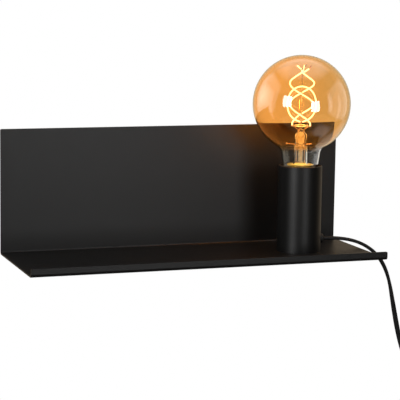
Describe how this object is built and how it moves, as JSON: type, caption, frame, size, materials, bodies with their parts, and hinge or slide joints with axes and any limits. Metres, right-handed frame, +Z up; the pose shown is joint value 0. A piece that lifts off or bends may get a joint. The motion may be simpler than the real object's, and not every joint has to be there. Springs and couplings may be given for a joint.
{
  "type": "wall shelf lamp",
  "caption": "Wall lamp of folded sheet metal with back panel, shelf and lip; a cup lampholder on the shelf holds an amber globe bulb, fed by a cord with switch and plug.",
  "frame": {"origin": "on the wall, midway between the two wall screws of the hidden bracket", "axes": "+X to the right along the shelf, +Y into the wall, +Z up"},
  "size_m": [0.4386, 0.1289, 0.5467],
  "materials": {
    "black_paint": "satin black powder coat",
    "zinc_steel": "bright zinc",
    "pad_rubber": "matt",
    "ceramic": "glazed white ceramic",
    "brass": "plain",
    "black_plastic": "fine matt",
    "brown_core": "smooth",
    "blue_core": "smooth",
    "amber_glass": "clear amber",
    "clear_glass": "clear",
    "filament": "glowing warm white",
    "support_wire": "drawn wire",
    "black_glass": "black glass",
    "tin": "solder",
    "board": "coated",
    "cord_sheath": "smooth black",
    "rocker_plastic": "polished",
    "tie_strap": "matt",
    "nickel": "nickel plate"
  },
  "bodies": {
    "lamp": {"shelf_body": "black_paint", "wall_bracket": "zinc_steel", "hanger_rail": "zinc_steel", "wall_pads": "pad_rubber", "holder_cup": "black_paint", "nipple": "zinc_steel", "nipple_nuts": "zinc_steel", "lock_washer": "zinc_steel", "stirrup": "zinc_steel", "stirrup_screws": "zinc_steel", "holder_body": "ceramic", "screw_shell": "brass", "centre_contact": "brass", "contact_rivets": "brass", "terminal_blocks": "brass", "terminal_screws": "zinc_steel", "cord_gland": "black_plastic", "gland_nut": "black_plastic", "live_core": "brown_core", "neutral_core": "blue_core", "cord_lead": "cord_sheath", "switch_front": "black_plastic", "switch_back": "black_plastic", "switch_screws": "zinc_steel", "switch_terminals": "brass", "cord_link": "cord_sheath", "cord_coil": "cord_sheath", "coil_tie": "tie_strap", "cord_tail": "cord_sheath", "plug_body": "black_plastic", "plug_pins": "nickel", "pin_sleeves": "black_plastic"},
    "bulb": {"bulb_globe": "amber_glass", "bulb_stem": "clear_glass", "filament_left": "filament", "filament_right": "filament", "filament_arch": "filament", "filament_supports": "support_wire", "bulb_cap": "brass", "cap_insulator": "black_glass", "cap_contact": "tin", "driver_board": "board"},
    "rocker": {"switch_rocker": "rocker_plastic"}
  },
  "joints": [
    {"name": "bulb_unscrew", "type": "slide", "parent": "lamp", "child": "bulb", "axis": [0, 0, 1], "range_m": [0, 0.036]},
    {"name": "rocker_tilt", "type": "hinge", "parent": "lamp", "child": "rocker", "pos_m": [0.249, -0.0564, -0.2755], "axis": [1, 0, 0], "range_deg": [0, 16]}
  ]
}
